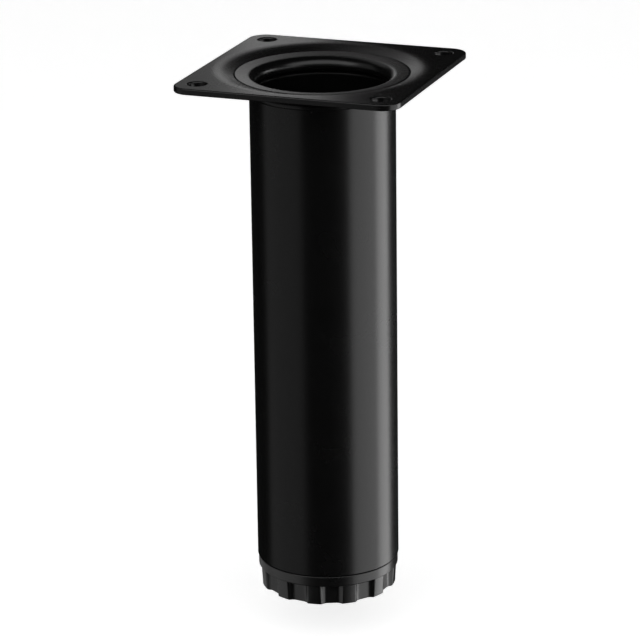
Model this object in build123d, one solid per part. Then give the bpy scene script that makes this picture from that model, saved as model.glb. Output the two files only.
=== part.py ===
from build123d import *
import math
import os

# Height-adjustable furniture leg: a round steel tube locked to a stamped plate,
# with a plastic foot that screws in and out of the tube's bottom end.
# Millimetres. The origin is on the floor under the tube's axis, +Z is up
# and the plate's edges lie along X and Y.

# Overall
leg_height = 150.0
foot_height = 9.0
foot_travel = 15.0

# Tube: its top end is flared over the plate, and a bead rolled under the plate locks it
tube_diameter = 40.0
tube_wall = 1.0
flare_reach = 4.0
flare_slope = 8.0
flare_bend = 2.3
flare_drop = 1.15
bead_reach = 1.0
bead_height = 1.4
bead_bend = 0.6
lock_gap = 0.05

# Plate: a flat border round a dish, a stepped seat for the flare in it, and a screw hole at each corner
plate_thickness = 1.8
plate_border = 3.5
plate_corner_radius = 4.0
plate_edge_radius = 0.4
dish_width = 4.25
dish_blend = 12.0
rim_gap = 0.25
rim_sink = 0.25
step_run = 1.0
step_lead = 0.3
step_bend = 0.6
hole_gap = 0.15
screw_hole_diameter = 5.0
screw_hole_inset = 6.0
screw_hole_edge = 0.25

# Levelling screw: stud with a round head, and the hexagon nut that it runs in
stud_diameter = 8.0
stud_head_diameter = 15.0
stud_head_height = 3.0
stud_end_chamfer = 0.9
stud_spare = 2.5
thread_gap = 0.06
nut_width = 13.0
nut_height = 6.5
nut_chamfer = 30.0

# Plug pressed into the tube's bottom end, with a pocket for the nut
insert_recess = 0.3
insert_height = 18.0
insert_gap = 0.3
insert_base = 2.5
insert_wall = 1.6
insert_lead = 0.6
crush_rib_count = 12
crush_rib_radius = 0.7
crush_rib_gap = 0.04
nut_recess = 0.3
nut_pocket_gap = 0.1
nut_shoulder = 4.0
stud_hole_gap = 0.4
hub_wall = 2.0
web_count = 6
web_thickness = 1.6
web_drop = 3.0

# Foot: smooth band over a scalloped skirt, hollow above, with a hub that holds the stud's head
foot_gap = 0.3
stop_gap = 0.1
band_inset = 0.25
band_height = 2.7
band_edge = 0.3
skirt_step = 0.35
skirt_draft = 3.5
foot_floor = 2.5
foot_wall = 3.0
foot_edge = 0.5
foot_bend = 0.6
head_gap = 0.08
head_floor = 1.8
foot_hub_wall = 1.8
foot_web_count = 6
foot_web_thickness = 1.6
foot_web_drop = 2.0
scallop_count = 12
scallop_depth = 1.4
scallop_floor = 4.3
scallop_flank = 45.0
scallop_bend = 2.5
scallop_phase = 23.0

# Radii and heights that follow from them
tube_radius = tube_diameter / 2
tube_bore = tube_radius - tube_wall
tube_end = foot_height
slope = math.tan(math.radians(flare_slope))
slant = 1 / math.cos(math.radians(flare_slope))
flare_radius = tube_radius + flare_reach
dish_edge = flare_radius + rim_gap
dish_radius = dish_edge + dish_width
plate_width = 2 * (dish_radius + plate_border)
plate_hole = tube_radius + hole_gap
hole_lead = flare_bend - tube_wall / 2 - hole_gap
screw_hole_spacing = plate_width - 2 * screw_hole_inset
stud_radius = stud_diameter / 2
head_radius = stud_head_diameter / 2
insert_bottom = tube_end + insert_recess
nut_bottom = insert_bottom + nut_recess
nut_top = nut_bottom + nut_height
nut_corner = nut_width / 2 / math.cos(math.radians(30))
head_top = head_floor + head_gap + stud_head_height
stud_top = nut_top + foot_travel + stud_spare
foot_top = tube_end - foot_gap


def turned(outline):
    """Solid turned about Z from a closed outline of (radius, height, corner radius) points."""
    points = [(radius, height) for radius, height, corner in outline]
    corners = [corner for radius, height, corner in outline]
    path = FilletPolyline(*points, radius=corners, close=True)
    return revolve(make_face(Plane.XZ * path), Axis.Z)


def beside(points, bends, distance):
    """Outline points of a line that follows a bent middle line at a distance to its left."""
    steps = [(Vector(*b) - Vector(*a)).normalized() for a, b in zip(points, points[1:])]
    lefts = [Vector(-step.Y, step.X) for step in steps]
    moved = [Vector(*points[0]) + lefts[0] * distance]
    radii = [0]
    for index, bend in enumerate(bends):
        before, after = lefts[index], lefts[index + 1]
        mitre = (before + after) * (1 / (1 + before.dot(after)))
        moved.append(Vector(*points[index + 1]) + mitre * distance)
        turn = math.copysign(1, before.cross(after).Z)
        radii.append(bend - turn * distance)
    moved.append(Vector(*points[-1]) + lefts[-1] * distance)
    radii.append(0)
    return [(point.X, point.Y, radius) for point, radius in zip(moved, radii)]


def turned_sheet(points, bends, thickness):
    """Sheet of even thickness turned about Z, from the bent line at its middle."""
    left = beside(points, bends, thickness / 2)
    right = beside(points, bends, -thickness / 2)
    return turned(left + right[::-1])


def disc(radius, bottom, top):
    """Upright cylinder about Z between two heights."""
    return Pos(0, 0, bottom) * Cylinder(radius, top - bottom, align=(Align.CENTER, Align.CENTER, Align.MIN))


def hexagon(width, bottom, top):
    """Upright hexagonal prism about Z, of a width across flats."""
    return extrude(Pos(0, 0, bottom) * RegularPolygon(width / 2, 6, major_radius=False), top - bottom)


def webs(count, thickness, inner, outer, bottom, top):
    """Upright walls that run out from the axis, evenly spaced, to join a hub to the wall round it."""
    wall = Pos((inner + outer) / 2, 0, (bottom + top) / 2) * Box(outer - inner, thickness, top - bottom)
    return [place * wall for place in PolarLocations(0, count)]


def flare_top(radius):
    """Height of the flare's upper face, a shallow cone, at a radius."""
    return leg_height - flare_drop - (flare_radius - radius) * slope


def seat_top(radius):
    """Height of the plate's seat, under the flare, at a radius."""
    return flare_top(radius) - (tube_wall + lock_gap) * slant


def seat_under(radius):
    """Height of the plate's underside below the seat at a radius."""
    return seat_top(radius) - plate_thickness * slant


def make_leg_tube():
    """Tube of even wall: straight, then beaded under the plate, then flared over it."""
    middle = tube_radius - tube_wall / 2
    bead_tilt = math.atan2(bead_reach, bead_height / 2)
    bead_top = seat_under(plate_hole) - lock_gap - tube_wall / 2 * math.tan(bead_tilt / 2)
    half_wall = tube_wall / 2 * slant
    points = [
        (middle, tube_end),
        (middle, bead_top - bead_height),
        (middle + bead_reach, bead_top - bead_height / 2),
        (middle, bead_top),
        (middle, flare_top(middle) - half_wall),
        (flare_radius, flare_top(flare_radius) - half_wall),
    ]
    return turned_sheet(points, [bead_bend, bead_bend, bead_bend, flare_bend], tube_wall)


def make_mounting_plate():
    """Flat square with rounded edges and four bevelled screw holes, joined to its turned dish."""
    top = leg_height
    under = top - plate_thickness
    square = RectangleRounded(plate_width, plate_width, plate_corner_radius)
    flat = extrude(Pos(0, 0, under) * square, plate_thickness)
    rim = flat.faces().sort_by(Axis.Z)
    flat = fillet(rim[0].edges() + rim[-1].edges(), plate_edge_radius)
    for place in GridLocations(screw_hole_spacing, screw_hole_spacing, 2, 2):
        flat -= place * disc(screw_hole_diameter / 2, under, top)
    circles = flat.edges().filter_by(GeomType.CIRCLE)
    flat = chamfer([edge for edge in circles if edge.is_closed], screw_hole_edge)

    join = dish_radius + plate_border / 2
    dish_low = flare_top(dish_edge) + rim_sink
    fall = (top - dish_low) / dish_width
    step_in = dish_edge + step_lead
    step_out = step_in + step_run
    dish_under = under - (dish_radius - step_out) * fall
    dish = turned([
        (join, top, 0),
        (dish_radius, top, dish_blend),
        (dish_edge, dish_low, 0),
        (dish_edge, seat_top(dish_edge), 0),
        (plate_hole, seat_top(plate_hole), hole_lead),
        (plate_hole, seat_under(plate_hole), 0),
        (step_in, seat_under(step_in), step_bend),
        (step_out, dish_under, step_bend),
        (dish_radius, under, dish_blend),
        (join, under, 0),
    ])
    return flat - disc(join, under, top) + dish


def make_tube_insert():
    """Plug: a base, a sleeve with crush ribs, and a webbed hub with a nut pocket that opens below."""
    sleeve = tube_bore - insert_gap
    inside = sleeve - insert_wall
    base = insert_bottom + insert_base
    top = insert_bottom + insert_height
    hub = nut_corner + nut_pocket_gap + hub_wall
    hub_top = nut_top + nut_shoulder
    stud_hole = stud_radius + stud_hole_gap
    plug = turned([
        (stud_hole, insert_bottom, 0),
        (sleeve, insert_bottom, insert_lead),
        (sleeve, top, insert_lead),
        (inside, top, 0),
        (inside, base, 0),
        (hub, base, 0),
        (hub, hub_top, 0),
        (stud_hole, hub_top, 0),
    ])
    web_inner = hub - hub_wall / 2
    web_outer = inside + insert_wall / 2
    plug += webs(web_count, web_thickness, web_inner, web_outer, base, hub_top - web_drop)
    rib = disc(crush_rib_radius, insert_bottom + insert_base, top - insert_base)
    rib_place = tube_bore - crush_rib_gap - crush_rib_radius
    plug += [place * rib for place in PolarLocations(rib_place, crush_rib_count)]
    return plug - hexagon(nut_width + 2 * nut_pocket_gap, insert_bottom, nut_top)


def make_insert_nut():
    """Hexagon nut with its corners turned off at both faces and a plain bore for the thread."""
    fall = (nut_corner - nut_width / 2) * math.tan(math.radians(nut_chamfer))
    bore = stud_radius + thread_gap
    blank = turned([
        (bore, nut_bottom, 0),
        (nut_width / 2, nut_bottom, 0),
        (nut_corner, nut_bottom + fall, 0),
        (nut_corner, nut_top - fall, 0),
        (nut_width / 2, nut_top, 0),
        (bore, nut_top, 0),
    ])
    return blank & hexagon(nut_width, nut_bottom, nut_top)


def make_levelling_stud():
    """Stud with a round head; the thread is left plain at its outside diameter."""
    bottom = head_floor + head_gap
    return turned([
        (0, bottom, 0),
        (head_radius, bottom, 0),
        (head_radius, head_top, 0),
        (stud_radius, head_top, 0),
        (stud_radius, stud_top - stud_end_chamfer, 0),
        (stud_radius - stud_end_chamfer, stud_top, 0),
        (0, stud_top, 0),
    ])


def make_adjusting_foot():
    """Foot: band, drafted skirt with finger scallops, and a webbed hub inside round the stud's head."""
    band = tube_radius - band_inset
    band_bottom = foot_top - band_height
    skirt = band - skirt_step
    skirt_top = band_bottom - skirt_step
    skirt_foot = skirt - skirt_top * math.tan(math.radians(skirt_draft))
    cup = skirt - foot_wall
    head_bore = head_radius + head_gap
    hub = head_bore + foot_hub_wall
    hub_top = insert_bottom - stop_gap
    shank_bore = stud_radius + head_gap
    foot = turned([
        (0, 0, 0),
        (skirt_foot, 0, foot_edge),
        (skirt, skirt_top, 0),
        (band, band_bottom, band_edge),
        (band, foot_top, band_edge),
        (cup, foot_top, 0),
        (cup, foot_floor, 0),
        (hub, foot_floor, 0),
        (hub, hub_top, foot_bend),
        (shank_bore, hub_top, 0),
        (shank_bore, head_top + head_gap, 0),
        (head_bore, head_top + head_gap, 0),
        (head_bore, head_floor, 0),
        (0, head_floor, 0),
    ])
    web_top = foot_top - foot_web_drop
    web_inner = hub - foot_hub_wall / 2
    web_outer = cup + foot_wall / 4
    foot += webs(foot_web_count, foot_web_thickness, web_inner, web_outer, foot_floor, web_top)
    deep = skirt - scallop_depth
    half_floor = scallop_floor / 2
    half_mouth = half_floor + (band - deep) / math.tan(math.radians(scallop_flank))
    groove = FilletPolyline(
        (band, -half_mouth),
        (deep, -half_floor),
        (deep, half_floor),
        (band, half_mouth),
        radius=[0, scallop_bend, scallop_bend, 0],
        close=True,
    )
    scallop = extrude(make_face(groove), band_bottom - band_edge)
    for place in PolarLocations(0, scallop_count, scallop_phase):
        foot -= place * scallop
    return foot


PIECES = {
    "mounting_plate": make_mounting_plate,
    "leg_tube": make_leg_tube,
    "tube_insert": make_tube_insert,
    "insert_nut": make_insert_nut,
    "levelling_stud": make_levelling_stud,
    "adjusting_foot": make_adjusting_foot,
}

os.makedirs("parts", exist_ok=True)
for name, make in PIECES.items():
    export_step(make(), f"parts/{name}.step")
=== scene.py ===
import math
from collections import namedtuple

import bmesh
import bpy
from bpy.props import FloatProperty, FloatVectorProperty, IntProperty, PointerProperty
from bpy.types import Operator, Panel, PropertyGroup
from mathutils import Matrix, Vector


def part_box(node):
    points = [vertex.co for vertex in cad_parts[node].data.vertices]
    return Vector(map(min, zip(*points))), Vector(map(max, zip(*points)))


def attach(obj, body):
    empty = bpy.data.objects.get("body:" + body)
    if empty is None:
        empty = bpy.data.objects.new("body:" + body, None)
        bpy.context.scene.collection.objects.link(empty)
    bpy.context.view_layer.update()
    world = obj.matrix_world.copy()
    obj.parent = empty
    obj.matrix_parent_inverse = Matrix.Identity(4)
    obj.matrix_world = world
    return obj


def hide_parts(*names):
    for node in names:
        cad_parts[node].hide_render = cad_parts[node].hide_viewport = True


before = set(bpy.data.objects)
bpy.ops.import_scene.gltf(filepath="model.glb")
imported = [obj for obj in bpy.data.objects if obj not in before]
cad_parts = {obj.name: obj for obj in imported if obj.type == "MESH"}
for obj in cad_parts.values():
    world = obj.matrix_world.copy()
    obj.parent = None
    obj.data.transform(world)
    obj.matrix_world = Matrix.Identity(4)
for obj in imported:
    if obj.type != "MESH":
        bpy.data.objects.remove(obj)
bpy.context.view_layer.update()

bl_info = {
    "name": "Furniture leg",
    "version": (1, 0, 0),
    "blender": (4, 5, 0),
    "location": "3D View > Sidebar > Furniture leg",
    "description": "Height-adjustable steel furniture leg with a screw plate and a levelling foot",
    "category": "Object",
}

# Metres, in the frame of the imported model: the screwed-in foot stands at height 0 and the tube's axis is Z
MM = 0.001

# How finely round things are cut
TURNED_SEGMENTS = 288
HOLE_SEGMENTS = TURNED_SEGMENTS // 6
RIB_SEGMENTS = TURNED_SEGMENTS // 12
FLOOR_SEGMENTS = TURNED_SEGMENTS // 3
FOOT_SEGMENTS = 840
STUD_SEGMENTS = 96
ROWS_PER_PITCH = 12
ARC_STEP = math.radians(7.5)
CORNER_STEPS = 20
NUT_CHAMFER_STEPS = 8
BAR_EDGE_STEPS = 4
# Share of a corner's radius at which a point beside its arc keeps the next flat even in the light
SUPPORT_SHARE = 0.2
# Points closer than this are one, and faces that turn by more than this meet in a hard edge
WELD = 1e-7
SHARP = math.radians(33)

# Flats at the root and the crest of the thread, as shares of its pitch
ROOT_FLAT = 0.25
CREST_FLAT = 0.125

# Noise levels at which a clouded finish has its dark and its light colour
CLOUD_LEVELS = (0.35, 0.7)

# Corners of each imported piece's box, which give the sizes that the pieces share
plate_low, plate_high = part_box("mounting_plate")
tube_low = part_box("leg_tube")[0]
plug_low, plug_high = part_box("tube_insert")
nut_low, nut_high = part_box("insert_nut")
stud_low, stud_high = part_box("levelling_stud")
foot_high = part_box("adjusting_foot")[1]

# Studio floor with upswept sides
FLOOR_RADIUS = 3.0
FLOOR_BEND = 1.0
SIDE_RADIUS = 3.2
SIDE_HEIGHT = 3.0

# Lamps: the setting of their radiance, their width and height, their place as degrees to the right of the
# camera, level distance and height, and the height on the leg's axis that they face
Lamp = namedtuple("Lamp", "setting width tall degrees distance height aim")
LAMPS = {
    "overhead_softbox": Lamp("overhead", 5.0, 1.5, 0, 1.34, 1.49, 0),
    "key_softbox": Lamp("key", 0.48, 1.0, 63, 0.6, -0.2, -0.2),
    "edge_softbox": Lamp("edge", 0.33, 1.0, 104, 0.6, -0.2, -0.2),
    "fill_softbox": Lamp("fill", 0.84, 1.6, -70, 0.6, 0, 0),
    "back_high_card": Lamp("back_high", 0.33, 0.23, 205, 0.46, 0.536, plate_high[2]),
    "back_card": Lamp("back", 0.031, 0.105, 182.9, 0.27, 0.2215, plate_high[2]),
    "back_left_card": Lamp("back_left", 0.06, 0.12, 188.8, 0.36, 0.235, plate_high[2]),
    "foot_card": Lamp("foot", 1.7, 1.0, -100, 0.6, -0.3, -0.3),
}
NOT_ON_FLOOR = ("key_softbox", "edge_softbox", "fill_softbox", "back_high_card")


def linear(code):
    """Linear colour with full alpha from an sRGB hex code."""
    values = [int(code[start:start + 2], 16) / 255 for start in (1, 3, 5)]
    light = [v / 12.92 if v <= 0.04045 else ((v + 0.055) / 1.055) ** 2.4 for v in values]
    return (*light, 1.0)


def length(label, about, metres):
    """Size property, in metres."""
    return FloatProperty(name=label, description=about, default=metres, unit="LENGTH", precision=5)


def angle(label, about, degrees):
    """Angle property, from degrees."""
    return FloatProperty(name=label, description=about, default=math.radians(degrees), unit="ROTATION")


def number(label, about, default):
    """Plain number property."""
    return FloatProperty(name=label, description=about, default=default)


def colour(label, about, code):
    """Colour property, from an sRGB hex code."""
    default = linear(code)
    return FloatVectorProperty(name=label, description=about, default=default, size=4, subtype="COLOR")


class LegTubeSizes(PropertyGroup):
    """Steel tube, flared over the plate and beaded under it."""

    top: length("Plate top", "Height of the plate's flat top above the floor", plate_high[2])
    end: length("Bottom end", "Height of the tube's bottom end above the floor", tube_low[2])
    diameter: length("Diameter", "Outside diameter of the tube", 40.0 * MM)
    wall: length("Wall", "Thickness of the tube's wall", 1.0 * MM)
    flare_reach: length("Flare reach", "How far the flare stands out from the tube", 4.0 * MM)
    flare_slope: angle("Flare slope", "Fall of the flare towards the bore", 7.0)
    flare_bend: length("Flare bend", "Bend radius at the root of the flare", 2.1 * MM)
    flare_drop: length("Flare drop", "Depth of the flare's rim below the plate's top", 1.15 * MM)
    neck: length("Neck", "Narrowing of the tube's radius where it passes through the plate", 1.0 * MM)
    bead_reach: length("Bead reach", "How far the bead stands out from the tube", 1.0 * MM)
    bead_height: length("Bead height", "Height of the bead", 1.4 * MM)
    bead_bend: length("Bead bend", "Bend radius of the bead", 0.6 * MM)
    lock_gap: length("Lock gap", "Gap between the plate and what holds it", 0.05 * MM)
    cut_edge: length("Cut edge", "Rounding of the tube's cut ends under the coat", 0.2 * MM)
    rim_round: length("Rim rounding", "Rounding of the flare's rim", 0.35 * MM)
    # Below this depth the bore gets a coat with its shine cut down: painted shade deep in the tube
    mouth: length("Mouth", "Depth below the plate's top down to which the bore is fully coated", 4.5 * MM)


class PlateSizes(PropertyGroup):
    """Stamped plate with a dish and four screw holes."""

    width: length("Width", "Length of the plate's sides", plate_high[0] - plate_low[0])
    thickness: length("Thickness", "Thickness of the sheet", 1.8 * MM)
    corner_radius: length("Corner radius", "Rounding of the plate's corners", 5.0 * MM)
    edge_radius: length("Edge radius", "Rounding of the plate's edges", 0.4 * MM)
    border: length("Border", "Flat width between the dish and the plate's sides", 3.5 * MM)
    dish_blend: length("Dish blend", "Bend radius between the flat and the dish", 12.0 * MM)
    rim_gap: length("Rim gap", "Gap round the flare's rim", 0.1 * MM)
    rim_rise: length("Rim rise", "Height of the flare's rim above the dish beside it", 0.12 * MM)
    rim_edge: length("Rim edge", "Rounding of the step beside the flare's rim", 0.06 * MM)
    step_lead: length("Step lead", "Width of the seat's underside beyond the step above", 0.3 * MM)
    step_run: length("Step run", "Width of the step under the plate", 1.0 * MM)
    step_bend: length("Step bend", "Bend radius of the step under the plate", 0.6 * MM)
    hole_gap: length("Hole gap", "Gap between the plate's round hole and the tube", 0.15 * MM)
    screw_hole: length("Screw hole", "Diameter of the screw holes", 5.0 * MM)
    screw_inset: length("Screw inset", "Distance of the screw holes from the plate's sides", 6.0 * MM)
    screw_edge: length("Screw hole edge", "Rounding of the screw holes' rims", 0.5 * MM)


class ScrewSizes(PropertyGroup):
    """Levelling stud and its nut."""

    stud_diameter: length("Stud diameter", "Outside diameter of the thread", 8.0 * MM)
    pitch: length("Pitch", "Height of one turn of the thread", 1.25 * MM)
    thread_depth: length("Thread depth", "Depth of the thread's groove", 0.77 * MM)
    thread_fade: length("Thread run-out", "Height over which the thread ends above the head", 1.0 * MM)
    end_chamfer: length("End chamfer", "Chamfer at the stud's top end", 0.9 * MM)
    head_height: length("Head height", "Height of the stud's round head", 3.0 * MM)
    head_edge: length("Head edge", "Rounding of the stud's head", 0.3 * MM)
    thread_gap: length("Thread gap", "Gap between the stud and the nut's bore", 0.06 * MM)
    nut_chamfer: angle("Nut chamfer", "Slope of the turned corners of the nut", 30.0)


class PlugSizes(PropertyGroup):
    """Plug in the tube's bottom end."""

    gap: length("Gap", "Gap between the plug's sleeve and the tube", 0.3 * MM)
    base: length("Base", "Thickness of the plug's base", 2.5 * MM)
    wall: length("Wall", "Thickness of the plug's sleeve", 1.6 * MM)
    lead: length("Lead", "Rounding of the sleeve's ends", 0.6 * MM)
    inner_bend: length("Inner bend", "Rounding of the plug's inner corners", 0.4 * MM)
    rib_count: IntProperty(name="Ribs", description="Number of crush ribs", default=12)
    rib_radius: length("Rib radius", "Radius of a crush rib", 0.7 * MM)
    rib_gap: length("Rib gap", "Gap between a crush rib and the tube", 0.04 * MM)
    pocket_gap: length("Pocket gap", "Gap round the nut", 0.1 * MM)
    shoulder: length("Shoulder", "Height of the hub above the nut", 4.0 * MM)
    stud_gap: length("Stud gap", "Gap round the stud above the nut", 0.4 * MM)
    hub_wall: length("Hub wall", "Thickness of the hub round the nut's corners", 2.0 * MM)
    web_count: IntProperty(name="Webs", description="Number of webs", default=6)
    web: length("Web", "Thickness of the webs", 1.6 * MM)
    web_drop: length("Web drop", "Depth of the webs below the hub's top", 3.0 * MM)


class FootSizes(PropertyGroup):
    """Foot with a smooth band over a scalloped skirt."""

    gap: length("Gap", "Gap between the foot and the tube's end", 0.3 * MM)
    band_height: length("Band height", "Height of the smooth band", 2.7 * MM)
    band_edge: length("Band edge", "Rounding of the band's edges", 0.3 * MM)
    skirt_step: length("Skirt step", "Step from the band in to the skirt", 0.35 * MM)
    skirt_draft: angle("Skirt draft", "Draft of the skirt", 3.5)
    floor: length("Floor", "Thickness of the foot's floor", 2.5 * MM)
    wall: length("Wall", "Thickness of the foot's wall", 3.0 * MM)
    edge: length("Edge", "Rounding of the foot's bottom edge", 0.5 * MM)
    inner_bend: length("Inner bend", "Rounding of the foot's inner corners", 0.6 * MM)
    head_gap: length("Head gap", "Gap round the stud's head", 0.08 * MM)
    hub_wall: length("Hub wall", "Thickness of the hub round the stud's head", 1.8 * MM)
    web_count: IntProperty(name="Webs", description="Number of webs", default=6)
    web: length("Web", "Thickness of the webs", 1.6 * MM)
    web_drop: length("Web drop", "Depth of the webs below the band's top", 2.0 * MM)
    scallop_count: IntProperty(name="Scallops", description="Number of finger scallops", default=12)
    scallop_depth: length("Scallop depth", "Depth of the scallops at the skirt's top", 1.4 * MM)
    scallop_floor: length("Scallop floor", "Width of the scallops' floor between their flanks", 4.3 * MM)
    scallop_flank: angle("Scallop flank", "Slope of the scallops' flanks from their floor", 45.0)
    scallop_bend: length("Scallop bend", "Bend radius between a scallop's floor and its flanks", 2.5 * MM)
    scallop_phase: angle("Scallop phase", "Direction of the first scallop from X", 23.0)
    scallop_soft: length("Scallop softness", "Rounding of the scallops' edges", 0.22 * MM)


class Finishes(PropertyGroup):
    """Colours of the finishes."""

    coat: colour("Powder coat", "Black coat on the tube and the plate", "#060606")
    coat_light: colour("Powder coat, light", "Lightest clouding of the black coat", "#080808")
    foot: colour("Foot plastic", "Black plastic of the foot", "#080808")
    foot_light: colour("Foot plastic, light", "Lightest clouding of the foot's plastic", "#0c0c0c")
    plug: colour("Plug plastic", "Black plastic of the plug", "#151515")
    plug_light: colour("Plug plastic, light", "Lightest clouding of the plug's plastic", "#1f1f1f")
    zinc: colour("Zinc", "Bright zinc plating", "#b4b9be")
    zinc_light: colour("Zinc, light", "Lightest bloom of the zinc plating", "#cdd1d3")
    floor: colour("Floor", "Pale studio floor", "#f4f4f4")


class StudioSettings(PropertyGroup):
    """Camera and lamps."""

    azimuth: angle("Camera azimuth", "Direction of the camera round the leg", 20.443)
    distance: length("Camera distance", "Level distance of the camera from the leg's axis", 878.26 * MM)
    height: length("Camera height", "Height of the camera above the floor", 373.05 * MM)
    pitch: angle("Camera pitch", "Tilt of the camera below level", 18.575)
    yaw: angle("Camera yaw", "Turn of the camera to the right of the leg's axis", -0.0974)
    roll: angle("Camera roll", "Turn of the camera about its own view", 0.7735)
    lens: number("Lens", "Focal length on the sensor, in mm", 187.33)
    sensor: number("Sensor", "Width of the sensor, in mm", 36.0)
    overhead: number("Overhead", "Radiance of the overhead softbox", 1.3)
    key: number("Key", "Radiance of the softbox at the right", 1.45)
    edge: number("Edge", "Radiance of the strip at the far right", 3.1)
    fill: number("Fill", "Radiance of the softbox at the left", 0.24)
    back: number("Back", "Radiance of the card at the back", 0.66)
    back_left: number("Back left", "Radiance of the card at the back left", 0.26)
    back_high: number("Back high", "Radiance of the high card at the back left", 0.3)
    foot: number("Foot", "Radiance of the card that lights the foot's left side", 0.32)
    paper: number("Paper", "Brightness that the camera sees added to the floor", 0.75)
    floor_drop: length("Floor drop", "Depth of the floor, on which the screwed-out foot stands", 15.2 * MM)
    room: number("Room", "Radiance of the dark room round the stage", 0.012)


# Outlines

def corner_spans(outline, closed):
    """Tangent length of each corner of an outline, and the straight length left on the side after it."""
    count = len(outline)
    tangents = []
    for index, (x, y, radius) in enumerate(outline):
        if radius == 0 or not closed and index in (0, count - 1):
            tangents.append(0.0)
            continue
        here = Vector((x, y))
        before = Vector(outline[index - 1][:2]) - here
        after = Vector(outline[(index + 1) % count][:2]) - here
        tangents.append(radius / math.tan(before.angle(after) / 2))
    spans = []
    for index in range(count):
        follower = (index + 1) % count
        side = (Vector(outline[follower][:2]) - Vector(outline[index][:2])).length
        spans.append(max(side - tangents[index] - tangents[follower], 0.0))
    return tangents, spans


def rounded(outline, closed=True):
    """Points along an outline of (radius, height, corner radius), with an arc at each rounded corner.

    A point close beside each end of an arc keeps the stretch between two arcs flat in the light.
    """
    tangents, spans = corner_spans(outline, closed)
    points = []
    for index, (x, y, radius) in enumerate(outline):
        here = Vector((x, y))
        tangent = tangents[index]
        if tangent == 0:
            points.append(here)
            continue
        to_before = (Vector(outline[index - 1][:2]) - here).normalized()
        to_after = (Vector(outline[(index + 1) % len(outline)][:2]) - here).normalized()
        half = to_before.angle(to_after) / 2
        centre = here + (to_before + to_after).normalized() * (radius / math.sin(half))
        start = here + to_before * tangent - centre
        turn = math.pi - 2 * half
        turn = -math.copysign(turn, to_before.cross(to_after))
        steps = max(2, math.ceil(abs(turn) / ARC_STEP))
        lead = min(radius * SUPPORT_SHARE, spans[index - 1] / 3)
        tail = min(radius * SUPPORT_SHARE, spans[index] / 3)
        points.append(here + to_before * (tangent + lead))
        for step in range(steps + 1):
            points.append(centre + Matrix.Rotation(turn * step / steps, 2) @ start)
        points.append(here + to_after * (tangent + tail))
    return points


def beside(points, bends, distance):
    """Outline of a line that follows a bent middle line at a distance to its left."""
    steps = [(Vector(b) - Vector(a)).normalized() for a, b in zip(points, points[1:])]
    lefts = [Vector((-step.y, step.x)) for step in steps]
    moved = [Vector(points[0]) + lefts[0] * distance]
    radii = [0]
    for index, bend in enumerate(bends):
        before, after = lefts[index], lefts[index + 1]
        mitre = (before + after) / (1 + before.dot(after))
        moved.append(Vector(points[index + 1]) + mitre * distance)
        radii.append(bend - math.copysign(distance, distance * before.cross(after)))
    moved.append(Vector(points[-1]) + lefts[-1] * distance)
    radii.append(0)
    return [(point.x, point.y, radius) for point, radius in zip(moved, radii)]


# Meshes

def add_circle(bm, radius, height, segments):
    """Ring of points about Z, or a single point on the axis."""
    if radius < WELD:
        return [bm.verts.new((0, 0, height))]
    turns = [math.tau * index / segments for index in range(segments)]
    return [bm.verts.new((radius * math.cos(t), radius * math.sin(t), height)) for t in turns]


def add_loop(bm, outline, height):
    """Ring of points from a level outline of (x, y) points."""
    return [bm.verts.new((x, y, height)) for x, y in outline]


def skin(bm, rings, closed=False):
    """Faces between each ring of points and the next."""
    pairs = list(zip(rings, rings[1:]))
    if closed:
        pairs.append((rings[-1], rings[0]))
    for ring, other in pairs:
        count = max(len(ring), len(other))
        for index in range(count):
            follower = (index + 1) % count
            if len(ring) == 1:
                bm.faces.new((ring[0], other[follower], other[index]))
            elif len(other) == 1:
                bm.faces.new((ring[index], ring[follower], other[0]))
            else:
                bm.faces.new((ring[index], ring[follower], other[follower], other[index]))


def loop_edges(bm, ring):
    """Edges along a closed ring of points, in order."""
    return [bm.edges.get((point, other)) for point, other in zip(ring, ring[1:] + ring[:1])]


def shade(mesh):
    """Smooth shading, with hard edges where the surface really turns."""
    mesh.shade_smooth()
    mesh.set_sharp_from_angle(angle=SHARP)


def closed_mesh(bm, name):
    """Mesh of a finished shell, with its points merged and its faces outward."""
    bmesh.ops.remove_doubles(bm, verts=bm.verts, dist=WELD)
    bmesh.ops.recalc_face_normals(bm, faces=bm.faces)
    if not all(edge.is_manifold for edge in bm.edges):
        raise RuntimeError(f"{name} isn't a closed shell")
    mesh = bpy.data.meshes.new(name)
    bm.to_mesh(mesh)
    bm.free()
    shade(mesh)
    return mesh


def turned_mesh(points, segments, name, closed=True):
    """Shell turned about Z from outline points."""
    bm = bmesh.new()
    skin(bm, [add_circle(bm, radius, height, segments) for radius, height in points], closed)
    return closed_mesh(bm, name)


def bar_mesh(low, high, edge, name):
    """Upright wall between two corners, with its upper edges rounded."""
    bm = bmesh.new()
    bmesh.ops.create_cube(bm, size=1.0)
    middle, size = (low + high) / 2, high - low
    bmesh.ops.transform(bm, matrix=Matrix.Translation(middle) @ Matrix.Diagonal((*size, 1)), verts=bm.verts)
    upper = [e for e in bm.edges if all(v.co.z > middle.z for v in e.verts)]
    bmesh.ops.bevel(bm, geom=upper, offset=edge, segments=BAR_EDGE_STEPS, profile=0.5, affect="EDGES")
    return closed_mesh(bm, name)


def place_piece(name, mesh, material, body):
    """Object for a finished mesh, on its body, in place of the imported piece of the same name."""
    mesh.materials.clear()
    mesh.materials.append(material)
    piece = bpy.data.objects.new(f"{name}_finish", mesh)
    bpy.context.scene.collection.objects.link(piece)
    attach(piece, body)
    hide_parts(name)
    return piece


# Node trees

def add(tree, kind, inputs=None, **settings):
    """Adds a node with its settings, and sets or links its inputs by name or number."""
    node = tree.nodes.new(kind)
    for name, value in settings.items():
        setattr(node, name, value)
    for name, value in (inputs or {}).items():
        if isinstance(value, bpy.types.NodeSocket):
            tree.links.new(value, node.inputs[name])
        else:
            node.inputs[name].default_value = value
    return node


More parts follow.
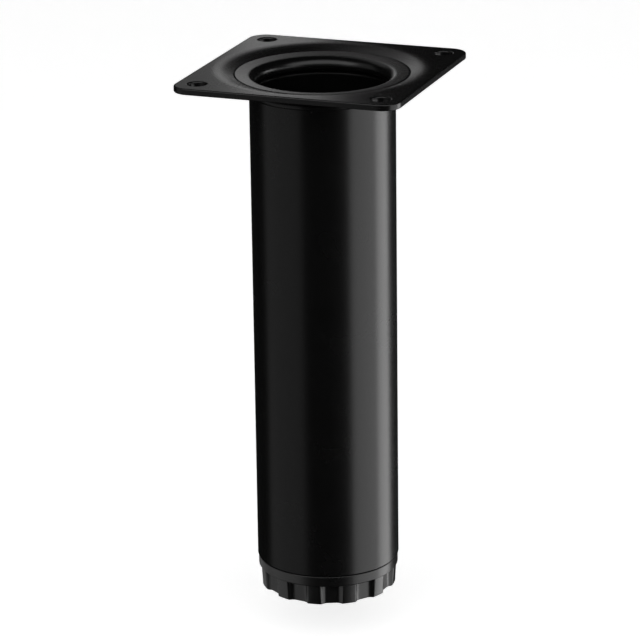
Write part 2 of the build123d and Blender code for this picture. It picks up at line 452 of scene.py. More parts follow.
def new_tree(name, sockets):
    """Empty geometry tree with named inputs, its input node and its output node."""
    tree = bpy.data.node_groups.new(name, "GeometryNodeTree")
    tree.interface.new_socket("Geometry", in_out="INPUT", socket_type="NodeSocketGeometry")
    for label, kind in sockets:
        tree.interface.new_socket(label, in_out="INPUT", socket_type=f"NodeSocket{kind}")
    tree.interface.new_socket("Geometry", in_out="OUTPUT", socket_type="NodeSocketGeometry")
    return tree, add(tree, "NodeGroupInput").outputs


def close_tree(tree, geometry, material):
    """Ends a geometry tree in real geometry with its material."""
    real = add(tree, "GeometryNodeRealizeInstances", {"Geometry": geometry})
    final = add(tree, "GeometryNodeSetMaterial", {"Geometry": real.outputs[0], "Material": material})
    add(tree, "NodeGroupOutput", {"Geometry": final.outputs[0]})


def run_tree(mesh, tree, values, name):
    """Plain mesh that a geometry tree makes from a mesh, with the tree's inputs set by name."""
    blank = bpy.data.objects.new(f"{name}_blank", mesh)
    bpy.context.scene.collection.objects.link(blank)
    modifier = blank.modifiers.new(tree.name, "NODES")
    modifier.node_group = tree
    inputs = [item for item in tree.interface.items_tree if item.in_out == "INPUT"]
    identifiers = {item.name: item.identifier for item in inputs}
    for label, value in values.items():
        modifier[identifiers[label]] = value
    graph = bpy.context.evaluated_depsgraph_get()
    made = bpy.data.meshes.new_from_object(blank.evaluated_get(graph), depsgraph=graph)
    made.name = name
    blank.modifiers.remove(modifier)
    bpy.data.objects.remove(blank)
    if not made.polygons:
        raise RuntimeError(f"The tree {tree.name} made nothing for {name}")
    shade(made)
    return made


def math_chain(tree):
    """Function that adds a maths node and gives its result."""
    def result(operation, *values):
        inputs = dict(enumerate(values))
        return add(tree, "ShaderNodeMath", inputs, operation=operation).outputs[0]
    return result


def radial_tree():
    """Tree that sets copies of a mesh round Z and joins them to a body."""
    sockets = [("Body", "Object"), ("Count", "Int"), ("Material", "Material")]
    tree, given = new_tree("copies_round_axis", sockets)
    body = add(tree, "GeometryNodeObjectInfo", {"Object": given["Body"]})
    points = add(tree, "GeometryNodeMeshLine", {"Count": given["Count"], "Offset": (0, 0, 0)})
    work = math_chain(tree)
    step = work("DIVIDE", math.tau, given["Count"])
    turn = work("MULTIPLY", step, add(tree, "GeometryNodeInputIndex").outputs[0])
    rotation = add(tree, "ShaderNodeCombineXYZ", {"Z": turn})
    copies = add(tree, "GeometryNodeInstanceOnPoints", {
        "Points": points.outputs[0],
        "Instance": given["Geometry"],
        "Rotation": rotation.outputs[0],
    })
    joined = add(tree, "GeometryNodeJoinGeometry")
    tree.links.new(copies.outputs[0], joined.inputs[0])
    tree.links.new(body.outputs["Geometry"], joined.inputs[0])
    close_tree(tree, joined.outputs[0], given["Material"])
    return tree


def axis_fields(tree, work):
    """Coordinates of each point, and its distance from Z."""
    position = add(tree, "GeometryNodeInputPosition").outputs[0]
    x, y, z = add(tree, "ShaderNodeSeparateXYZ", {0: position}).outputs
    reach = work("SQRT", work("ADD", work("MULTIPLY", x, x), work("MULTIPLY", y, y)))
    return x, y, z, reach


def push_outward(tree, given, x, y, distance):
    """Moves each point away from Z by a distance, and ends the tree."""
    level = add(tree, "ShaderNodeCombineXYZ", {0: x, 1: y})
    outward = add(tree, "ShaderNodeVectorMath", {0: level.outputs[0]}, operation="NORMALIZE")
    move = add(tree, "ShaderNodeVectorMath", {0: outward.outputs[0], "Scale": distance}, operation="SCALE")
    moved = add(tree, "GeometryNodeSetPosition", {"Geometry": given["Geometry"], "Offset": move.outputs[0]})
    close_tree(tree, moved.outputs[0], given["Material"])


def scallop_tree():
    """Tree that presses finger scallops into the skirt of a turned foot, below a roof.

    Each scallop has a flat floor and two flanks with a soft bend between them. The skirt and its
    bottom edge are drawn in to it.
    """
    sockets = [("Count", "Int"), ("Material", "Material")]
    sizes = ["Deep", "Half floor", "Flank", "Blend", "Phase", "Roof", "Skirt", "Skirt top", "Draft"]
    sizes += ["Softness", "Still", "Free"]
    tree, given = new_tree("finger_scallops", sockets + [(label, "Float") for label in sizes])
    work = math_chain(tree)
    x, y, z, reach = axis_fields(tree, work)
    half_step = work("DIVIDE", math.pi, given["Count"])
    off = work("SUBTRACT", work("ARCTAN2", y, x), given["Phase"])
    off = work("WRAP", off, half_step, work("MULTIPLY", half_step, -1.0))
    along = work("COSINE", off)
    across = work("ABSOLUTE", work("SINE", off))
    floor = work("DIVIDE", given["Deep"], along)
    flank_start = work("SUBTRACT", given["Deep"], work("MULTIPLY", given["Flank"], given["Half floor"]))
    flank = work("DIVIDE", flank_start, work("SUBTRACT", along, work("MULTIPLY", given["Flank"], across)))
    groove = work("SMOOTH_MAX", floor, flank, given["Blend"])
    fall = work("MULTIPLY", work("SUBTRACT", given["Skirt top"], z), given["Draft"])
    skirt = work("SUBTRACT", given["Skirt"], fall)
    press = work("SMOOTH_MAX", work("SUBTRACT", skirt, groove), 0.0, given["Softness"])
    below = work("LESS_THAN", z, given["Roof"])
    share = add(tree, "ShaderNodeMapRange", {0: reach, 1: given["Still"], 2: given["Free"]}).outputs[0]
    press = work("MULTIPLY", work("MULTIPLY", press, below), share)
    push_outward(tree, given, x, y, work("MULTIPLY", press, -1.0))
    return tree


def thread_tree():
    """Tree that cuts a right-hand thread into a turned stud above a height."""
    sizes = ["Radius", "Pitch", "Depth", "Start", "Fade"]
    tree, given = new_tree("stud_thread", [("Material", "Material")] + [(label, "Float") for label in sizes])
    work = math_chain(tree)
    x, y, z, reach = axis_fields(tree, work)
    part_turn = work("DIVIDE", work("ARCTAN2", y, x), math.tau)
    turns = work("SUBTRACT", work("DIVIDE", z, given["Pitch"]), part_turn)
    wave = work("PINGPONG", turns, 0.5)
    root, crest = ROOT_FLAT / 2, (1 - CREST_FLAT) / 2
    groove = add(tree, "ShaderNodeMapRange", {0: wave, 1: root, 2: crest, 3: 1.0, 4: 0.0}).outputs[0]
    stop = work("ADD", given["Start"], given["Fade"])
    fade = add(tree, "ShaderNodeMapRange", {0: z, 1: given["Start"], 2: stop}).outputs[0]
    cut = work("MULTIPLY", work("MULTIPLY", groove, fade), given["Depth"])
    wanted = work("MINIMUM", reach, work("SUBTRACT", given["Radius"], cut))
    above = work("GREATER_THAN", z, given["Start"])
    push_outward(tree, given, x, y, work("MULTIPLY", work("SUBTRACT", wanted, reach), above))
    return tree


def with_copies(body, unit, count, material, name):
    """Plain mesh of a body with copies of a unit mesh set round Z."""
    holder = bpy.data.objects.new(f"{name}_body", body)
    bpy.context.scene.collection.objects.link(holder)
    made = run_tree(unit, radial_tree(), {"Body": holder, "Count": count, "Material": material}, name)
    bpy.data.objects.remove(holder)
    return made


# Materials

def new_material(name):
    """Material with only its output, a surface shader and Object coordinates."""
    material = bpy.data.materials.new(name)
    material.use_nodes = True
    tree = material.node_tree
    tree.nodes.clear()
    place = add(tree, "ShaderNodeTexCoord").outputs["Object"]
    surface = add(tree, "ShaderNodeBsdfPrincipled")
    add(tree, "ShaderNodeOutputMaterial", {"Surface": surface.outputs[0]})
    return material, tree, place, surface


def clouded(tree, place, surface, dark, light, cloud_size, rough, rough_swing):
    """Slow clouding of a surface's colour and roughness, of a size in metres."""
    cloud = add(tree, "ShaderNodeTexNoise", {"Vector": place, "Scale": 1 / cloud_size, "Detail": 3.0})
    ramp = add(tree, "ShaderNodeValToRGB", {"Fac": cloud.outputs["Fac"]})
    for stop, tone, spot in zip(ramp.color_ramp.elements, (dark, light), CLOUD_LEVELS):
        stop.position = spot
        stop.color = tone
    tree.links.new(ramp.outputs["Color"], surface.inputs["Base Color"])
    low, high = rough - rough_swing, rough + rough_swing
    swing = add(tree, "ShaderNodeMapRange", {"Value": cloud.outputs["Fac"], "To Min": low, "To Max": high})
    tree.links.new(swing.outputs[0], surface.inputs["Roughness"])


def grained(tree, place, surface, size, height):
    """Bump of a surface, with a grain of a size and a height in metres."""
    noise = add(tree, "ShaderNodeTexNoise", {"Vector": place, "Scale": 1 / size, "Detail": 2.0})
    bump = add(tree, "ShaderNodeBump", {"Height": noise.outputs["Fac"], "Distance": height, "Strength": 1.0})
    tree.links.new(bump.outputs[0], surface.inputs["Normal"])


def powder_coat(scene):
    """Satin black powder coat on steel.

    Baked on, so it is smooth and softly glossy, with a very shallow orange peel of about 2 mm.
    """
    finishes = scene.leg_finishes
    material, tree, place, surface = new_material("satin_black_powder_coat")
    clouded(tree, place, surface, finishes.coat, finishes.coat_light,
            cloud_size=14 * MM, rough=0.27, rough_swing=0.015)
    grained(tree, place, surface, size=2.2 * MM, height=0.004 * MM)
    surface.inputs["IOR"].default_value = 1.5
    return material


def bore_painted_shade_coat(scene):
    """Black coat in the tube's bore, rougher and with its shine cut to about a fifth: painted shade that
    keeps the deep bore dark.
    """
    finishes = scene.leg_finishes
    material, tree, place, surface = new_material("bore_coat_painted_shade")
    clouded(tree, place, surface, finishes.coat, finishes.coat_light,
            cloud_size=9 * MM, rough=0.32, rough_swing=0.03)
    grained(tree, place, surface, size=0.8 * MM, height=0.004 * MM)
    # The shine cut to about a fifth is painted shade deep in the bore
    surface.inputs["Specular IOR Level"].default_value = 0.11
    return material


def foot_plastic(scene):
    """Black polypropylene, moulded in a spark-eroded tool: an even, fine matt grain with a dull shine.

    The real grain of about 0.1 mm is too fine to show, so it is drawn at 0.35 mm.
    """
    finishes = scene.leg_finishes
    material, tree, place, surface = new_material("moulded_black_polypropylene")
    clouded(tree, place, surface, finishes.foot, finishes.foot_light,
            cloud_size=6 * MM, rough=0.28, rough_swing=0.02)
    grained(tree, place, surface, size=0.35 * MM, height=0.004 * MM)
    # Somewhat above the 1.49 of plain polypropylene, matched to the foot's shine
    surface.inputs["IOR"].default_value = 1.55
    return material


def plug_plastic(scene):
    """Black polyethylene, moulded in a plain tool: soft, waxy and duller than the foot."""
    finishes = scene.leg_finishes
    material, tree, place, surface = new_material("moulded_black_polyethylene")
    clouded(tree, place, surface, finishes.plug, finishes.plug_light,
            cloud_size=5 * MM, rough=0.5, rough_swing=0.05)
    grained(tree, place, surface, size=0.5 * MM, height=0.006 * MM)
    surface.inputs["IOR"].default_value = 1.51
    return material


def zinc_plating(scene):
    """Bright zinc on rolled steel: a cool grey metal with a slightly cloudy bloom and fine drawn marks."""
    finishes = scene.leg_finishes
    material, tree, place, surface = new_material("bright_zinc_plating")
    clouded(tree, place, surface, finishes.zinc, finishes.zinc_light,
            cloud_size=3 * MM, rough=0.32, rough_swing=0.07)
    grained(tree, place, surface, size=0.25 * MM, height=0.002 * MM)
    surface.inputs["Metallic"].default_value = 1.0
    return material


def studio_paper(scene):
    """Pale matt paper of the floor and its upswept sides, near white to the camera.

    It is one-sided: seen from below it is clear, so that it doesn't hide the leg's underside.
    """
    finishes, studio = scene.leg_finishes, scene.leg_studio
    material, tree, place, surface = new_material("pale_studio_paper")
    clouded(tree, place, surface, finishes.floor, finishes.floor,
            cloud_size=60 * MM, rough=0.9, rough_swing=0.02)
    surface.inputs["Specular IOR Level"].default_value = 0.1
    surface.inputs["Emission Color"].default_value = (1, 1, 1, 1)
    ray = add(tree, "ShaderNodeLightPath").outputs
    work = math_chain(tree)
    seen = work("MAXIMUM", ray["Is Camera Ray"], ray["Is Glossy Ray"])
    seen = work("MAXIMUM", seen, ray["Is Transmission Ray"])
    tree.links.new(work("MULTIPLY", seen, studio.paper), surface.inputs["Emission Strength"])
    end = surface.outputs[0].links[0].to_socket
    below = add(tree, "ShaderNodeNewGeometry").outputs["Backfacing"]
    clear = add(tree, "ShaderNodeBsdfTransparent").outputs[0]
    sides = add(tree, "ShaderNodeMixShader", {0: below, 1: surface.outputs[0], 2: clear})
    tree.links.new(sides.outputs[0], end)
    return material


def finish_of(slot, scene):
    """Material of one of the record's slots, made once."""
    makers = {
        "coated_steel": ("satin_black_powder_coat", powder_coat),
        "foot_plastic": ("moulded_black_polypropylene", foot_plastic),
        "insert_plastic": ("moulded_black_polyethylene", plug_plastic),
        "zinc_steel": ("bright_zinc_plating", zinc_plating),
    }
    name, maker = makers[slot]
    return bpy.data.materials.get(name) or maker(scene)


# Shapes of the pieces

def flare_radius(tube):
    """Outer radius of the tube's flare."""
    return tube.diameter / 2 + tube.flare_reach


def flare_top(tube, radius):
    """Height of the flare's upper face, a shallow cone, at a radius."""
    fall = (flare_radius(tube) - radius) * math.tan(tube.flare_slope)
    return tube.top - tube.flare_drop - fall


def seat_top(tube, radius):
    """Height of the plate's seat, under the flare, at a radius."""
    return flare_top(tube, radius) - (tube.wall + tube.lock_gap) / math.cos(tube.flare_slope)


def seat_under(tube, plate, radius):
    """Height of the plate's underside below the seat at a radius."""
    return seat_top(tube, radius) - plate.thickness / math.cos(tube.flare_slope)


def plate_hole_radius(tube, plate):
    """Radius of the plate's round hole, which the tube's neck passes through."""
    return tube.diameter / 2 - tube.neck + plate.hole_gap


def tube_outline(tube, plate):
    """Wall of the tube: straight, then beaded under the plate, necked in its hole and flared over it."""
    half_wall = tube.wall / 2
    middle = tube.diameter / 2 - half_wall
    neck = middle - tube.neck
    bead_tilt = math.atan2(tube.bead_reach + tube.neck, tube.bead_height / 2)
    plate_hole = plate_hole_radius(tube, plate)
    bead_top = seat_under(tube, plate, plate_hole) - tube.lock_gap - half_wall * math.tan(bead_tilt / 2)
    slant = half_wall / math.cos(tube.flare_slope)
    rim = flare_radius(tube)
    points = [
        (middle, tube.end),
        (middle, bead_top - tube.bead_height),
        (middle + tube.bead_reach, bead_top - tube.bead_height / 2),
        (neck, bead_top),
        (neck, flare_top(tube, neck) - slant),
        (rim, flare_top(tube, rim) - slant),
    ]
    bends = [tube.bead_bend, tube.bead_bend, tube.bead_bend, tube.flare_bend]
    sides = beside(points, bends, half_wall) + beside(points, bends, -half_wall)[::-1]
    # The corners without a bend are the tube's ends: the flare's rim above the bead, the cut below it
    return [(x, y, bend or (tube.rim_round if y > bead_top else tube.cut_edge)) for x, y, bend in sides]


def dish_outline(tube, plate):
    """Section of the plate's dish, from the flat top round its hole to the flat underside."""
    top = tube.top
    under = top - plate.thickness
    dish_radius = plate.width / 2 - plate.border
    dish_edge = flare_radius(tube) + plate.rim_gap
    join = dish_radius + plate.border / 2
    dish_low = flare_top(tube, dish_edge) - plate.rim_rise
    fall = (top - dish_low) / (dish_radius - dish_edge)
    step_in = dish_edge + plate.step_lead
    step_out = step_in + plate.step_run
    hole = plate_hole_radius(tube, plate)
    hole_lead = tube.flare_bend - tube.wall / 2 - plate.hole_gap
    return [
        (join, top, 0),
        (dish_radius, top, plate.dish_blend),
        (dish_edge, dish_low, plate.rim_edge),
        (dish_edge, seat_top(tube, dish_edge), plate.rim_edge),
        (hole, seat_top(tube, hole), hole_lead),
        (hole, seat_under(tube, plate, hole), plate.rim_edge),
        (step_in, seat_under(tube, plate, step_in), plate.step_bend),
        (step_out, under - (dish_radius - step_out) * fall, plate.step_bend),
        (dish_radius, under, plate.dish_blend),
        (join, under, 0),
    ]


def square_loop(plate, inset):
    """Level outline of the plate's rounded square, moved in by an inset."""
    radius = plate.corner_radius - inset
    centre = plate.width / 2 - plate.corner_radius
    support = plate.corner_radius * SUPPORT_SHARE
    points = []
    for corner in range(4):
        turn = Matrix.Rotation(corner * math.pi / 2, 2)
        arc = [(centre + radius, centre - support)]
        for step in range(CORNER_STEPS + 1):
            a = math.pi / 2 * step / CORNER_STEPS
            arc.append((centre + radius * math.cos(a), centre + radius * math.sin(a)))
        arc.append((centre - support, centre + radius))
        points += [tuple(turn @ Vector(point)) for point in arc]
    return points


def edge_rounding(radius, top, under):
    """(inset, height) pairs down a rounded edge of the plate, with flat leads at both ends."""
    steps = math.ceil(math.pi / 2 / ARC_STEP)
    arc = [(radius * (1 - math.cos(a)), radius * (1 - math.sin(a)))
           for a in [math.pi / 2 * (1 - step / steps) for step in range(steps + 1)]]
    lead = radius * SUPPORT_SHARE
    upper = [(radius + lead, top)] + [(inset, top - drop) for inset, drop in arc]
    lower = [(inset, under + drop) for inset, drop in reversed(arc)] + [(radius + lead, under)]
    return upper + [(0.0, top - radius - lead), (0.0, under + radius + lead)] + lower


def plate_mesh(tube, plate):
    """Plate: the turned dish, the rounded rim, four screw holes and the flat faces between them."""
    bm = bmesh.new()
    top = tube.top
    under = top - plate.thickness
    dish = [add_circle(bm, radius, height, TURNED_SEGMENTS)
            for radius, height in rounded(dish_outline(tube, plate), closed=False)]
    skin(bm, dish)
    rim = [add_loop(bm, square_loop(plate, inset), height)
           for inset, height in edge_rounding(plate.edge_radius, top, under)]
    skin(bm, rim)
    upper, lower = [dish[0], rim[0]], [dish[-1], rim[-1]]
    spot = plate.width / 2 - plate.screw_inset
    for x, y in ((spot, spot), (-spot, spot), (-spot, -spot), (spot, -spot)):
        wall = []
        for inset, height in edge_rounding(plate.screw_edge, top, under):
            ring = add_circle(bm, plate.screw_hole / 2 + inset, height, HOLE_SEGMENTS)
            bmesh.ops.translate(bm, vec=(x, y, 0), verts=ring)
            wall.append(ring)
        skin(bm, wall)
        upper.append(wall[0])
        lower.append(wall[-1])
    for rings in (upper, lower):
        edges = [edge for ring in rings for edge in loop_edges(bm, ring)]
        bmesh.ops.triangle_fill(bm, use_beauty=True, use_dissolve=False, edges=edges)
    return closed_mesh(bm, "mounting_plate")


def hexagon_radius(width, turn):
    """Distance from the axis to a hexagon's side, of a width across flats, in a direction."""
    step = math.pi / 3
    off = (turn + step / 2) % step - step / 2
    return width / 2 / math.cos(off)


def add_hexagon(bm, width, height, segments, limit=math.inf):
    """Ring of points along a hexagon about Z with a flat side towards Y, kept inside a round limit."""
    ring = []
    for index in range(segments):
        turn = math.tau * index / segments
        radius = min(hexagon_radius(width, turn + math.pi / 6), limit)
        ring.append(bm.verts.new((radius * math.cos(turn), radius * math.sin(turn), height)))
    return ring


def nut_mesh(screw):
    """Hexagon nut with its corners turned off at both faces and a plain bore."""
    bm = bmesh.new()
    bottom, top = nut_low[2], nut_high[2]
    width = nut_high[1] - nut_low[1]
    corner = width / 2 / math.cos(math.pi / 6)
    bore = screw.stud_diameter / 2 + screw.thread_gap
    fall = (corner - width / 2) * math.tan(screw.nut_chamfer)
    steps = NUT_CHAMFER_STEPS
    limits = [width / 2 + (corner - width / 2) * step / steps for step in range(steps + 1)]
    drops = [fall * step / steps for step in range(steps + 1)]
    lower = [add_hexagon(bm, width, bottom + d, TURNED_SEGMENTS, r) for d, r in zip(drops, limits)]
    upper = [add_hexagon(bm, width, top - d, TURNED_SEGMENTS, r) for d, r in zip(drops, limits)]
    inner = [add_circle(bm, bore, height, TURNED_SEGMENTS) for height in (top, bottom)]
    skin(bm, lower + upper[::-1] + inner, closed=True)
    return closed_mesh(bm, "insert_nut")


def plug_mesh(tube, screw, plug, material):
    """Plug: base, sleeve with crush ribs and webbed hub, with a hexagonal pocket for the nut."""
    bottom, top = plug_low[2], plug_high[2]
    sleeve = tube.diameter / 2 - tube.wall - plug.gap
    inside = sleeve - plug.wall
    base = bottom + plug.base
    pocket_roof = nut_high[2]
    pocket_width = nut_high[1] - nut_low[1] + 2 * plug.pocket_gap
    hub = (nut_high[1] - nut_low[1]) / 2 / math.cos(math.pi / 6) + plug.pocket_gap + plug.hub_wall
    hub_top = pocket_roof + plug.shoulder
    stud_hole = screw.stud_diameter / 2 + plug.stud_gap
    outline = rounded([
        (stud_hole, pocket_roof, 0),
        (stud_hole, hub_top, plug.inner_bend),
        (hub, hub_top, plug.inner_bend),
        (hub, base, plug.inner_bend),
        (inside, base, plug.inner_bend),
        (inside, top, plug.inner_bend),
        (sleeve, top, plug.lead),
        (sleeve, bottom, plug.lead),
        (hub, bottom, 0),
    ], closed=False)
    bm = bmesh.new()
    rings = [add_circle(bm, radius, height, TURNED_SEGMENTS) for radius, height in outline]
    for height in (bottom, pocket_roof):
        rings.append(add_hexagon(bm, pocket_width, height, TURNED_SEGMENTS))
    skin(bm, rings, closed=True)
    shell = closed_mesh(bm, "tube_insert")
    half_web = plug.web / 2
    web_low = Vector((hub - plug.hub_wall / 2, -half_web, base - plug.base / 2))
    web_high = Vector((inside + plug.wall / 2, half_web, hub_top - plug.web_drop))
    web = bar_mesh(web_low, web_high, plug.inner_bend, "plug_web")
    shell = with_copies(shell, web, plug.web_count, material, "tube_insert")
    rib_place = tube.diameter / 2 - tube.wall - plug.rib_gap - plug.rib_radius
    rib_outline = rounded([
        (0, bottom + plug.base, 0),
        (plug.rib_radius, bottom + plug.base, plug.rib_radius / 2),
        (plug.rib_radius, top - plug.base, plug.rib_radius / 2),
        (0, top - plug.base, 0),
    ], closed=False)
    rib = turned_mesh(rib_outline, RIB_SEGMENTS, "crush_rib", closed=False)
    rib.transform(Matrix.Translation((rib_place, 0, 0)))
    return with_copies(shell, rib, plug.rib_count, material, "tube_insert")


def stud_mesh(screw, material):
    """Stud with a round head and a cut thread."""
    bottom, top = stud_low[2], stud_high[2]
    radius, head = screw.stud_diameter / 2, stud_high[0]
    head_top = bottom + screw.head_height
    points = rounded([
        (0, bottom, 0),
        (head, bottom, screw.head_edge),
        (head, head_top, screw.head_edge),
        (radius, head_top, screw.head_edge / 2),
        (radius, top - screw.end_chamfer, 0),
        (radius - screw.end_chamfer, top, screw.head_edge / 2),
        (0, top, 0),
    ], closed=False)
    # Rows of points up the shank, between its fillet and its chamfer, for the thread to be cut in
    foot_of_shank = max(point.y for point in points if point.y < head_top + screw.head_edge)
    row = screw.pitch / ROWS_PER_PITCH
    rows = int((top - screw.end_chamfer - foot_of_shank) / row)
    shank_points = [Vector((radius, foot_of_shank + row * (index + 1))) for index in range(rows)]
    split = next(index for index, point in enumerate(points) if point.y > foot_of_shank)
    points = points[:split] + shank_points[:-1] + points[split:]
    blank = turned_mesh(points, STUD_SEGMENTS, "levelling_stud", closed=False)
    return run_tree(blank, thread_tree(), {
        "Material": material,
        "Radius": radius,
        "Pitch": screw.pitch,
        "Depth": screw.thread_depth,
        "Start": head_top + screw.head_edge,
        "Fade": screw.thread_fade,
    }, "levelling_stud")


def foot_mesh(tube, screw, foot, material):
    """Foot: band, drafted skirt with finger scallops, and a webbed hub inside round the stud's head."""
    band = foot_high[0]
    top = tube.end - foot.gap
    band_bottom = top - foot.band_height
    skirt = band - foot.skirt_step
    skirt_top = band_bottom - foot.skirt_step
    draft = math.tan(foot.skirt_draft)
    roof = band_bottom - foot.band_edge
    roof_radius = skirt + (roof - skirt_top)
    # A hair's step under the roof lets the scallops end there squarely
    hair = foot.band_edge / 20
    cup = skirt - foot.wall
    head_bore = stud_high[0] + foot.head_gap
    head_floor = stud_low[2] - foot.head_gap
    head_roof = stud_low[2] + screw.head_height + foot.head_gap
    hub = head_bore + foot.hub_wall
    hub_top = foot_high[2]
    shank_bore = screw.stud_diameter / 2 + foot.head_gap
    # The scallops draw in all that lies beyond the middle of the wall, and nothing inside it
    still = cup + foot.wall / 10
    free = cup + foot.wall / 2
    points = rounded([
        (0, 0, 0),
        (still, 0, 0),
        (skirt - skirt_top * draft, 0, foot.edge),
        (skirt, skirt_top, 0),
        (roof_radius - hair, roof - hair, 0),
        (roof_radius, roof, 0),
        (band, band_bottom, foot.band_edge / 2),
        (band, top, foot.band_edge),
        (cup, top, foot.band_edge),
        (cup, foot.floor, foot.inner_bend),
        (hub, foot.floor, foot.inner_bend),
        (hub, hub_top, foot.inner_bend),
        (shank_bore, hub_top, 0),
        (shank_bore, head_roof, 0),
        (head_bore, head_roof, 0),
        (head_bore, head_floor, 0),
        (0, head_floor, 0),
    ], closed=False)
    # A smooth maximum lifts the corner by a sixth of its width, as far as a bend of this radius does
    half_turn = math.cos(foot.scallop_flank / 2)
    blend = 6 * foot.scallop_bend * (1 / half_turn - 1) / half_turn
    blank = turned_mesh(points, FOOT_SEGMENTS, "adjusting_foot", closed=False)
    shell = run_tree(blank, scallop_tree(), {
        "Count": foot.scallop_count,
        "Material": material,
        "Deep": skirt - foot.scallop_depth,
        "Half floor": foot.scallop_floor / 2,
        "Flank": math.tan(foot.scallop_flank),
        "Blend": blend,
        "Phase": foot.scallop_phase,
        "Roof": roof - hair / 2,
        "Skirt": skirt,
        "Skirt top": skirt_top,
        "Draft": draft,
        "Softness": foot.scallop_soft,
        "Still": still,
        "Free": free,
    }, "adjusting_foot")
    half_web = foot.web / 2
    web_low = Vector((hub - foot.hub_wall / 2, -half_web, foot.floor / 2))
    web_high = Vector((cup + foot.wall / 4, half_web, top - foot.web_drop))
    web = bar_mesh(web_low, web_high, foot.band_edge, "foot_web")
    return with_copies(shell, web, foot.web_count, material, "adjusting_foot")


# Stage

def round_camera(studio, degrees, distance, height):
    """Place at an angle to the right of the camera's direction from the leg, seen from above."""
    direction = studio.azimuth - math.pi / 2 + math.radians(degrees)
    return (distance * math.cos(direction), distance * math.sin(direction), height)


def camera_axes(studio):
    """Camera's rotation from its azimuth, pitch, yaw and roll."""
    heading = studio.yaw - studio.azimuth
    pitch = -studio.pitch
    reach = math.cos(pitch)
    forward = Vector((math.sin(heading) * reach, math.cos(heading) * reach, math.sin(pitch)))
    level = Vector((math.cos(heading), -math.sin(heading), 0))
    down = forward.cross(level)
    right = level * math.cos(studio.roll) + down * math.sin(studio.roll)
    up = level * math.sin(studio.roll) - down * math.cos(studio.roll)
    return Matrix((right, up, -forward)).transposed()


def studio_floor(scene):
    """Floor with upswept sides, kept out of the coat's reflections, which see only the softboxes.

    It lies where the foot reaches when it is screwed out, so that it cuts through nothing at any pose.
    """
    level = -scene.leg_studio.floor_drop
    corners = [(0, level, 0), (FLOOR_RADIUS, level, FLOOR_BEND), (SIDE_RADIUS, SIDE_HEIGHT, 0)]
    sweep = rounded(corners, closed=False)
    bm = bmesh.new()
    skin(bm, [add_circle(bm, radius, height, FLOOR_SEGMENTS) for radius, height in sweep])
    bmesh.ops.recalc_face_normals(bm, faces=bm.faces)
    bmesh.ops.reverse_faces(bm, faces=bm.faces)
    mesh = bpy.data.meshes.new("studio_floor")
    bm.to_mesh(mesh)
    bm.free()
    mesh.shade_smooth()
    mesh.materials.append(studio_paper(scene))
    floor = bpy.data.objects.new("studio_floor", mesh)
    scene.collection.objects.link(floor)
    floor.visible_glossy = False
    floor.visible_shadow = False
    return floor


def panel_lamp(scene, name, lamp):
    """Softbox of a plain radiance that faces the leg and doesn't show itself to the camera."""
    studio = scene.leg_studio
    light = bpy.data.lights.new(name, "AREA")
    light.shape = "RECTANGLE"
    light.size = lamp.width
    light.size_y = lamp.tall
    light.energy = getattr(studio, lamp.setting) * math.pi * lamp.width * lamp.tall
    holder = bpy.data.objects.new(name, light)
    place = round_camera(studio, lamp.degrees, lamp.distance, lamp.height)
    facing = (Vector((0, 0, lamp.aim)) - Vector(place)).to_track_quat("-Z", "Y")
    holder.matrix_world = Matrix.Translation(place) @ facing.to_matrix().to_4x4()
    holder.visible_camera = False
    scene.collection.objects.link(holder)
    return holder


def studio_lamps(scene, floor):
    """Lamps, some of which leave the floor unlit, and one of which lights the foot alone."""
    lamps = {name: panel_lamp(scene, name, lamp) for name, lamp in LAMPS.items()}
    bystanders = bpy.data.collections.new("not_lit_by_side_lamps")
    bystanders.objects.link(floor)
    bystanders.collection_objects[0].light_linking.link_state = "EXCLUDE"
    for name in NOT_ON_FLOOR:
        lamps[name].light_linking.receiver_collection = bystanders
    foot_only = bpy.data.collections.new("lit_by_foot_card")
    foot_only.objects.link(bpy.data.objects["adjusting_foot_finish"])
    lamps["foot_card"].light_linking.receiver_collection = foot_only


def dark_room(scene):
    """World with hardly any light of its own."""
    world = bpy.data.worlds.new("dark_room")
    world.use_nodes = True
    tree = world.node_tree
    tree.nodes.clear()
    room = add(tree, "ShaderNodeBackground", {"Color": (1, 1, 1, 1), "Strength": scene.leg_studio.room})
    add(tree, "ShaderNodeOutputWorld", {"Surface": room.outputs[0]})
    scene.world = world


def studio_camera(scene):
    """Camera at the photograph's viewing angle."""
    studio = scene.leg_studio
    camera = bpy.data.objects.new("camera", bpy.data.cameras.new("camera"))
    camera.data.lens = studio.lens
    camera.data.sensor_width = studio.sensor
    camera.data.clip_start = 10 * MM
    place = round_camera(studio, 0, studio.distance, studio.height)
    camera.matrix_world = Matrix.Translation(place) @ camera_axes(studio).to_4x4()
    scene.collection.objects.link(camera)
    scene.camera = camera


# Operators

class LEG_OT_tube(Operator):
    """Makes the coated steel tube"""

    bl_idname = "furniture_leg.tube"
    bl_label = "Leg tube"

    def execute(self, context):
        scene = context.scene
        tube = scene.leg_tube
        outline = rounded(tube_outline(tube, scene.leg_plate))
        mesh = turned_mesh(outline, TURNED_SEGMENTS, "leg_tube")
        place_piece("leg_tube", mesh, finish_of("coated_steel", scene), "leg")
        # Faces of the bore below the mouth get the coat whose cut-down shine is painted shade
        mesh.materials.append(bore_painted_shade_coat(scene))
        for face in mesh.polygons:
            faces_bore = face.normal.xy.dot(face.center.xy) < 0
            if faces_bore and face.center.z < tube.top - tube.mouth:
                face.material_index = 1
        return {"FINISHED"}


class LEG_OT_plate(Operator):
    """Makes the coated steel plate"""

    bl_idname = "furniture_leg.plate"
    bl_label = "Mounting plate"

    def execute(self, context):
        scene = context.scene
        mesh = plate_mesh(scene.leg_tube, scene.leg_plate)
        place_piece("mounting_plate", mesh, finish_of("coated_steel", scene), "leg")
        return {"FINISHED"}


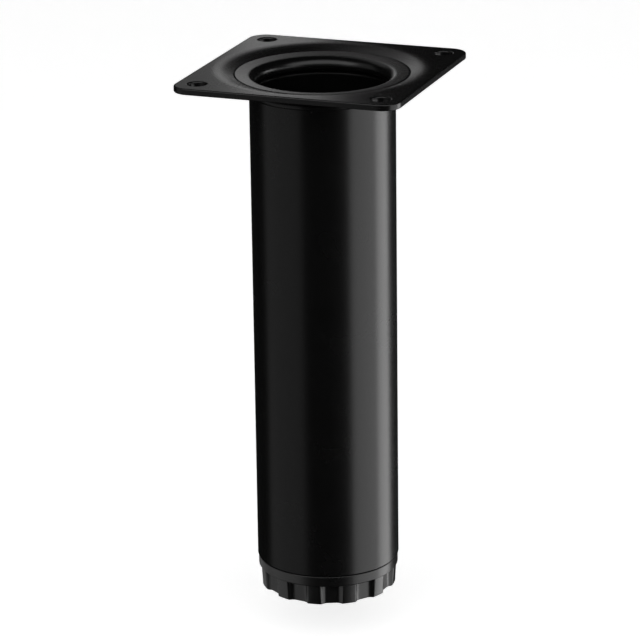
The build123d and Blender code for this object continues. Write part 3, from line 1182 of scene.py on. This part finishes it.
class LEG_OT_plug(Operator):
    """Makes the plastic plug in the tube's bottom end"""

    bl_idname = "furniture_leg.plug"
    bl_label = "Tube insert"

    def execute(self, context):
        scene = context.scene
        material = finish_of("insert_plastic", scene)
        mesh = plug_mesh(scene.leg_tube, scene.leg_screw, scene.leg_plug, material)
        place_piece("tube_insert", mesh, material, "leg")
        return {"FINISHED"}


class LEG_OT_screw(Operator):
    """Makes the levelling stud and its nut"""

    bl_idname = "furniture_leg.screw"
    bl_label = "Levelling stud and nut"

    def execute(self, context):
        scene = context.scene
        material = finish_of("zinc_steel", scene)
        place_piece("insert_nut", nut_mesh(scene.leg_screw), material, "leg")
        place_piece("levelling_stud", stud_mesh(scene.leg_screw, material), material, "stud")
        return {"FINISHED"}


class LEG_OT_foot(Operator):
    """Makes the scalloped plastic foot"""

    bl_idname = "furniture_leg.foot"
    bl_label = "Adjusting foot"

    def execute(self, context):
        scene = context.scene
        material = finish_of("foot_plastic", scene)
        mesh = foot_mesh(scene.leg_tube, scene.leg_screw, scene.leg_foot, material)
        place_piece("adjusting_foot", mesh, material, "foot")
        return {"FINISHED"}


class LEG_OT_stage(Operator):
    """Sets up the floor, the lamps and the camera"""

    bl_idname = "furniture_leg.stage"
    bl_label = "Stage"

    def execute(self, context):
        scene = context.scene
        scene.view_settings.view_transform = "Standard"
        studio_lamps(scene, studio_floor(scene))
        dark_room(scene)
        studio_camera(scene)
        return {"FINISHED"}


class LEG_PT_panel(Panel):
    """Sizes, colours and steps of the furniture leg"""

    bl_idname = "LEG_PT_panel"
    bl_label = "Furniture leg"
    bl_space_type = "VIEW_3D"
    bl_region_type = "UI"
    bl_category = "Furniture leg"

    def draw(self, context):
        for group, operators in STEPS:
            box = self.layout.box()
            settings = getattr(context.scene, group)
            for name in settings.bl_rna.properties.keys():
                if name not in ("rna_type", "name"):
                    box.prop(settings, name)
            for operator in operators:
                box.operator(operator.bl_idname)


GROUPS = {
    "leg_tube": LegTubeSizes,
    "leg_plate": PlateSizes,
    "leg_plug": PlugSizes,
    "leg_screw": ScrewSizes,
    "leg_foot": FootSizes,
    "leg_finishes": Finishes,
    "leg_studio": StudioSettings,
}
STEPS = [
    ("leg_tube", [LEG_OT_tube]),
    ("leg_plate", [LEG_OT_plate]),
    ("leg_plug", [LEG_OT_plug]),
    ("leg_screw", [LEG_OT_screw]),
    ("leg_foot", [LEG_OT_foot]),
    ("leg_finishes", []),
    ("leg_studio", [LEG_OT_stage]),
]
OPERATORS = [operator for group, operators in STEPS for operator in operators]
CLASSES = [*GROUPS.values(), *OPERATORS, LEG_PT_panel]


def register():
    for cls in CLASSES:
        bpy.utils.register_class(cls)
    for name, group in GROUPS.items():
        setattr(bpy.types.Scene, name, PointerProperty(type=group))


def unregister():
    for name in GROUPS:
        delattr(bpy.types.Scene, name)
    for cls in reversed(CLASSES):
        bpy.utils.unregister_class(cls)


def main():
    """Makes every piece and the stage."""
    register()
    bpy.ops.furniture_leg.tube()
    bpy.ops.furniture_leg.plate()
    bpy.ops.furniture_leg.plug()
    bpy.ops.furniture_leg.screw()
    bpy.ops.furniture_leg.foot()
    bpy.ops.furniture_leg.stage()


if __name__ == "__main__":
    main()
